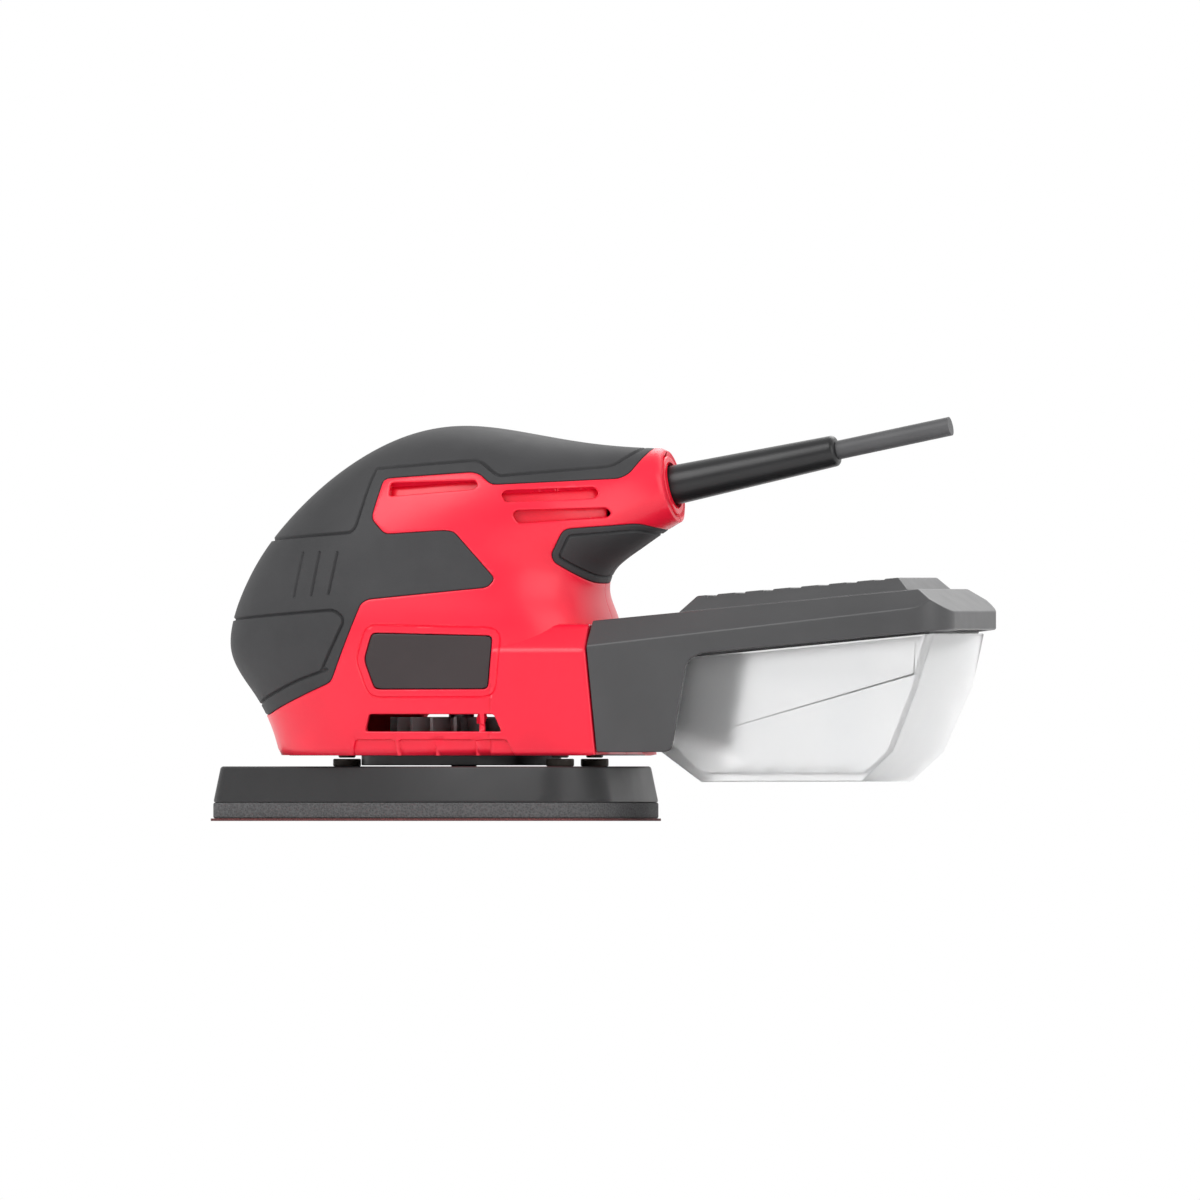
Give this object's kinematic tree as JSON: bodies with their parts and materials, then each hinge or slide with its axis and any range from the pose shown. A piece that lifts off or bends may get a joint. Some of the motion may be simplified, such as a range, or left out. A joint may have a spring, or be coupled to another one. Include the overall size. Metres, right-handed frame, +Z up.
{
  "type": "detail mouse sander",
  "caption": "Palm-held orbital detail sander with an iron-shaped hook-and-loop pad, soft grips, rear dust box with a clear cup, and a cord.",
  "frame": {"origin": "on the floor under the middle of the tool's bounding box, measured without the cord", "axes": "+X towards the dust box, -X towards the pad's nose, +Z up"},
  "size_m": [0.249, 0.093, 0.1273],
  "materials": {
    "red_plastic": "satin moulded",
    "soft_grip": "matt soft touch",
    "dark_plate": "matt",
    "dark_plastic": "matt moulded",
    "black_rubber": "matt",
    "post_rubber": "matt",
    "steel": "turned",
    "laminations": "varnished",
    "copper": "enamelled wire",
    "brass": "stamped",
    "carbon": "pressed carbon",
    "capacitor_case": "gloss",
    "wire_insulation": "insulated wire",
    "cord_jacket": "matt jacket",
    "fan_plastic": "moulded",
    "cast_weight": "cast",
    "pad_foam": "closed-cell foam",
    "abrasive": "abrasive grain",
    "grey_plastic": "satin moulded",
    "filter_paper": "pleated paper",
    "clear_plastic": "milky clear moulded"
  },
  "bodies": {
    "root": {"housing_left": "red_plastic", "housing_right": "red_plastic", "housing_screws": "steel", "grip_left": "soft_grip", "grip_right": "soft_grip", "rear_grip_left": "soft_grip", "rear_grip_right": "soft_grip", "badge_left": "dark_plate", "badge_right": "dark_plate", "vent_baffles": "red_plastic", "base_plate": "dark_plastic", "dust_seal": "black_rubber", "platen_posts": "post_rubber", "dust_spout": "dark_plastic", "spout_seal": "black_rubber", "stator_core": "laminations", "stator_coils": "copper", "lower_bearing": "steel", "upper_bearing": "steel", "bearing_cup": "black_rubber", "brush_holders": "brass", "carbon_brushes": "carbon", "brush_springs": "steel", "switch_frame": "dark_plastic", "capacitor": "capacitor_case", "inner_wires": "wire_insulation", "cord_clamp": "dark_plastic", "cord_boot": "black_rubber", "cord_lead_in": "cord_jacket", "power_cord": "cord_jacket"},
    "rotor": {"motor_shaft": "steel", "armature_core": "laminations", "armature_windings": "copper", "commutator": "copper", "fan": "fan_plastic", "eccentric": "cast_weight", "eccentric_screw": "steel"},
    "pad": {"eccentric_bearing": "steel", "platen": "dark_plastic", "backing_pad": "pad_foam", "sanding_sheet": "abrasive", "post_washers": "post_rubber"},
    "rocker": {"switch_rocker": "dark_plastic"},
    "dust_box": {"dust_box_frame": "grey_plastic", "vent_cover": "grey_plastic", "filter_frame": "dark_plastic", "filter_pleats": "filter_paper"},
    "dust_cup": {"dust_cup": "clear_plastic", "cup_seal": "black_rubber"}
  },
  "joints": [
    {"name": "rotor_spin", "type": "hinge", "parent": "root", "child": "rotor", "pos_m": [-0.043, 0, 0], "axis": [0, 0, 1], "continuous": true},
    {"name": "pad_orbit", "type": "hinge", "parent": "rotor", "child": "pad", "pos_m": [-0.0422, 0, 0], "axis": [0, 0, 1], "continuous": true},
    {"name": "rocker_tip", "type": "hinge", "parent": "root", "child": "rocker", "pos_m": [-0.1054, 0, 0.0744], "axis": [0, 1, 0], "range_deg": [0, 12]},
    {"name": "dust_box_slide", "type": "slide", "parent": "root", "child": "dust_box", "axis": [1, 0, 0], "range_m": [0, 0.05]},
    {"name": "dust_cup_drop", "type": "slide", "parent": "dust_box", "child": "dust_cup", "axis": [0.0995, 0, -0.995], "range_m": [0, 0.012]}
  ],
  "couplings": [
    {"joint": "pad_orbit", "follows": "rotor_spin", "ratio": -1}
  ]
}
